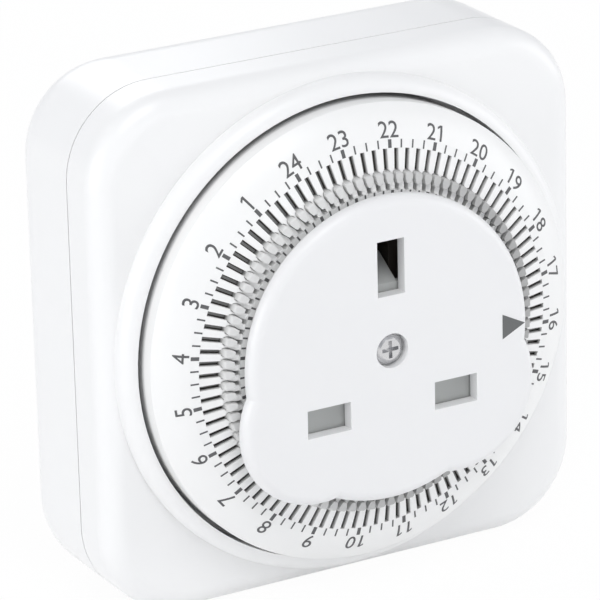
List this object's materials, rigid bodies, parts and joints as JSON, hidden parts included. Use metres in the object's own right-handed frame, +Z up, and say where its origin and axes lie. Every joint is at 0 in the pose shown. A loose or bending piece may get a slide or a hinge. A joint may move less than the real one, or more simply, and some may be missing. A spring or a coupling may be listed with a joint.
{
  "type": "plug-in timer switch",
  "caption": "Square plug-in mains timer with a turning twenty-four-hour dial of push-down segments around a three-pin socket plate, and a three-pin plug behind.",
  "frame": {"origin": "dial axis, in the flat rear face that lies against the wall", "axes": "+X right and +Z up as seen from the front; +Y into the wall, along the plug pins"},
  "size_m": [0.0838, 0.0658, 0.0832],
  "materials": {
    "shell": "white moulded plastic",
    "plate": "white moulded plastic, slightly greyer than the case",
    "tappet": "light grey moulded plastic",
    "shutter": "mid-grey moulded plastic",
    "inner_plastic": "natural moulded plastic",
    "dark_plastic": "black moulded plastic",
    "carrier_plastic": "dark brown moulded plastic",
    "red_plastic": "red moulded plastic",
    "grey_plastic": "dark grey moulded plastic",
    "brass": "bare brass",
    "steel": "plated steel",
    "magnet": "dark sintered magnet",
    "winding": "enamelled copper wire",
    "lead": "insulated wire"
  },
  "bodies": {
    "case": {"front_cover": "shell", "rear_case": "shell", "socket_plate": "plate", "centre_screw": "steel", "contact_carrier": "carrier_plastic", "line_contact": "brass", "neutral_contact": "brass", "earth_contact": "brass", "line_pin": "brass", "neutral_pin": "brass", "earth_pin": "brass", "pin_sleeves": "dark_plastic", "line_link": "brass", "motor_leads": "lead", "motor_core": "steel", "motor_bobbin": "inner_plastic", "motor_coil": "winding", "gear_axles": "steel", "gear_plate": "inner_plastic", "switch_body": "dark_plastic", "switch_terminals": "brass", "case_screws": "steel", "shutter_spring": "steel"},
    "dial": {"dial_ring": "shell"},
    "clutch_pinion": {"clutch_pinion": "inner_plastic", "clutch_spring": "brass"},
    "rotor": {"motor_rotor": "magnet"},
    "gear_wheel_1": {"gear_wheel_1": "inner_plastic"},
    "gear_wheel_2": {"gear_wheel_2": "inner_plastic"},
    "gear_wheel_3": {"gear_wheel_3": "inner_plastic"},
    "clutch_wheel": {"clutch_wheel": "inner_plastic"},
    "follower": {"follower_pin": "inner_plastic"},
    "lever": {"switch_lever": "steel"},
    "plunger": {"switch_plunger": "red_plastic"},
    "shutter": {"shutter": "shutter"},
    "override": {"override_slider": "grey_plastic"},
    "tappets_01": {"tappets_01": "tappet"},
    "tappets_02": {"tappets_02": "tappet"},
    "tappets_03": {"tappets_03": "tappet"},
    "tappets_04": {"tappets_04": "tappet"},
    "tappets_05": {"tappets_05": "tappet"},
    "tappets_06": {"tappets_06": "tappet"},
    "tappets_07": {"tappets_07": "tappet"},
    "tappets_08": {"tappets_08": "tappet"},
    "tappets_09": {"tappets_09": "tappet"},
    "tappets_10": {"tappets_10": "tappet"},
    "tappets_11": {"tappets_11": "tappet"},
    "tappets_12": {"tappets_12": "tappet"},
    "tappets_13": {"tappets_13": "tappet"},
    "tappets_14": {"tappets_14": "tappet"},
    "tappets_15": {"tappets_15": "tappet"},
    "tappets_16": {"tappets_16": "tappet"},
    "tappets_17": {"tappets_17": "tappet"},
    "tappets_18": {"tappets_18": "tappet"},
    "tappets_19": {"tappets_19": "tappet"},
    "tappets_20": {"tappets_20": "tappet"},
    "tappets_21": {"tappets_21": "tappet"},
    "tappets_22": {"tappets_22": "tappet"},
    "tappets_23": {"tappets_23": "tappet"},
    "tappets_24": {"tappets_24": "tappet"}
  },
  "joints": [
    {"name": "dial_spin", "type": "hinge", "parent": "case", "child": "dial", "pos_m": [0, -0.035, 0], "axis": [0, 1, 0], "continuous": true},
    {"name": "clutch_pinion_spin", "type": "hinge", "parent": "case", "child": "clutch_pinion", "pos_m": [0.00903, -0.02, -0.02621], "axis": [0, 1, 0], "continuous": true},
    {"name": "rotor_spin", "type": "hinge", "parent": "case", "child": "rotor", "pos_m": [-0.02135, -0.008, -0.0092], "axis": [0, 1, 0], "continuous": true},
    {"name": "wheel_1_spin", "type": "hinge", "parent": "case", "child": "gear_wheel_1", "pos_m": [-0.01893, -0.013, -0.01891], "axis": [0, 1, 0], "continuous": true},
    {"name": "wheel_2_spin", "type": "hinge", "parent": "case", "child": "gear_wheel_2", "pos_m": [-0.0125, -0.0155, -0.02656], "axis": [0, 1, 0], "continuous": true},
    {"name": "wheel_3_spin", "type": "hinge", "parent": "case", "child": "gear_wheel_3", "pos_m": [-0.00299, -0.018, -0.02966], "axis": [0, 1, 0], "continuous": true},
    {"name": "clutch_wheel_spin", "type": "hinge", "parent": "case", "child": "clutch_wheel", "pos_m": [0.00903, -0.0205, -0.02621], "axis": [0, 1, 0], "continuous": true},
    {"name": "tappets_01_slide", "type": "slide", "parent": "dial", "child": "tappets_01", "axis": [0, 1, 0], "range_m": [0, 0.002]},
    {"name": "tappets_02_slide", "type": "slide", "parent": "dial", "child": "tappets_02", "axis": [0, 1, 0], "range_m": [0, 0.002]},
    {"name": "tappets_03_slide", "type": "slide", "parent": "dial", "child": "tappets_03", "axis": [0, 1, 0], "range_m": [0, 0.002]},
    {"name": "tappets_04_slide", "type": "slide", "parent": "dial", "child": "tappets_04", "axis": [0, 1, 0], "range_m": [0, 0.002]},
    {"name": "tappets_05_slide", "type": "slide", "parent": "dial", "child": "tappets_05", "axis": [0, 1, 0], "range_m": [0, 0.002]},
    {"name": "tappets_06_slide", "type": "slide", "parent": "dial", "child": "tappets_06", "axis": [0, 1, 0], "range_m": [0, 0.002]},
    {"name": "tappets_07_slide", "type": "slide", "parent": "dial", "child": "tappets_07", "axis": [0, 1, 0], "range_m": [0, 0.002]},
    {"name": "tappets_08_slide", "type": "slide", "parent": "dial", "child": "tappets_08", "axis": [0, 1, 0], "range_m": [0, 0.002]},
    {"name": "tappets_09_slide", "type": "slide", "parent": "dial", "child": "tappets_09", "axis": [0, 1, 0], "range_m": [0, 0.002]},
    {"name": "tappets_10_slide", "type": "slide", "parent": "dial", "child": "tappets_10", "axis": [0, 1, 0], "range_m": [0, 0.002]},
    {"name": "tappets_11_slide", "type": "slide", "parent": "dial", "child": "tappets_11", "axis": [0, 1, 0], "range_m": [0, 0.002]},
    {"name": "tappets_12_slide", "type": "slide", "parent": "dial", "child": "tappets_12", "axis": [0, 1, 0], "range_m": [0, 0.002]},
    {"name": "tappets_13_slide", "type": "slide", "parent": "dial", "child": "tappets_13", "axis": [0, 1, 0], "range_m": [0, 0.002]},
    {"name": "tappets_14_slide", "type": "slide", "parent": "dial", "child": "tappets_14", "axis": [0, 1, 0], "range_m": [0, 0.002]},
    {"name": "tappets_15_slide", "type": "slide", "parent": "dial", "child": "tappets_15", "axis": [0, 1, 0], "range_m": [0, 0.002]},
    {"name": "tappets_16_slide", "type": "slide", "parent": "dial", "child": "tappets_16", "axis": [0, 1, 0], "range_m": [0, 0.002]},
    {"name": "tappets_17_slide", "type": "slide", "parent": "dial", "child": "tappets_17", "axis": [0, 1, 0], "range_m": [0, 0.002]},
    {"name": "tappets_18_slide", "type": "slide", "parent": "dial", "child": "tappets_18", "axis": [0, 1, 0], "range_m": [0, 0.002]},
    {"name": "tappets_19_slide", "type": "slide", "parent": "dial", "child": "tappets_19", "axis": [0, 1, 0], "range_m": [0, 0.002]},
    {"name": "tappets_20_slide", "type": "slide", "parent": "dial", "child": "tappets_20", "axis": [0, 1, 0], "range_m": [0, 0.002]},
    {"name": "tappets_21_slide", "type": "slide", "parent": "dial", "child": "tappets_21", "axis": [0, 1, 0], "range_m": [0, 0.002]},
    {"name": "tappets_22_slide", "type": "slide", "parent": "dial", "child": "tappets_22", "axis": [0, 1, 0], "range_m": [0, 0.002]},
    {"name": "tappets_23_slide", "type": "slide", "parent": "dial", "child": "tappets_23", "axis": [0, 1, 0], "range_m": [0, 0.002]},
    {"name": "tappets_24_slide", "type": "slide", "parent": "dial", "child": "tappets_24", "axis": [0, 1, 0], "range_m": [0, 0.002]},
    {"name": "follower_slide", "type": "slide", "parent": "case", "child": "follower", "axis": [0, 1, 0], "range_m": [0, 0.0019]},
    {"name": "lever_swing", "type": "hinge", "parent": "case", "child": "lever", "pos_m": [0.0252, -0.0183, 0.0085], "axis": [1, 0, 0], "range_deg": [0, 10.7]},
    {"name": "plunger_slide", "type": "slide", "parent": "case", "child": "plunger", "axis": [0, 1, 0], "range_m": [0, 0.00051]},
    {"name": "shutter_slide", "type": "slide", "parent": "case", "child": "shutter", "axis": [0, 0, -1], "range_m": [0, 0.0046], "stiffness_N_per_m": 300, "springref_m": -0.002, "deforming": ["shutter_spring"]},
    {"name": "override_slide", "type": "slide", "parent": "case", "child": "override", "axis": [0, 0, -1], "range_m": [0, 0.005]}
  ],
  "couplings": [
    {"joint": "clutch_pinion_spin", "follows": "dial_spin", "ratio": 8},
    {"joint": "wheel_1_spin", "follows": "rotor_spin", "ratio": -0.33333},
    {"joint": "wheel_2_spin", "follows": "rotor_spin", "ratio": 0.11111},
    {"joint": "wheel_3_spin", "follows": "rotor_spin", "ratio": -0.037037},
    {"joint": "clutch_wheel_spin", "follows": "rotor_spin", "ratio": 0.0092593},
    {"joint": "follower_slide", "follows": "tappets_16_slide", "ratio": 0.93},
    {"joint": "lever_swing", "follows": "tappets_16_slide", "rad_per_m": 92.502},
    {"joint": "plunger_slide", "follows": "tappets_16_slide", "ratio": 0.25}
  ]
}
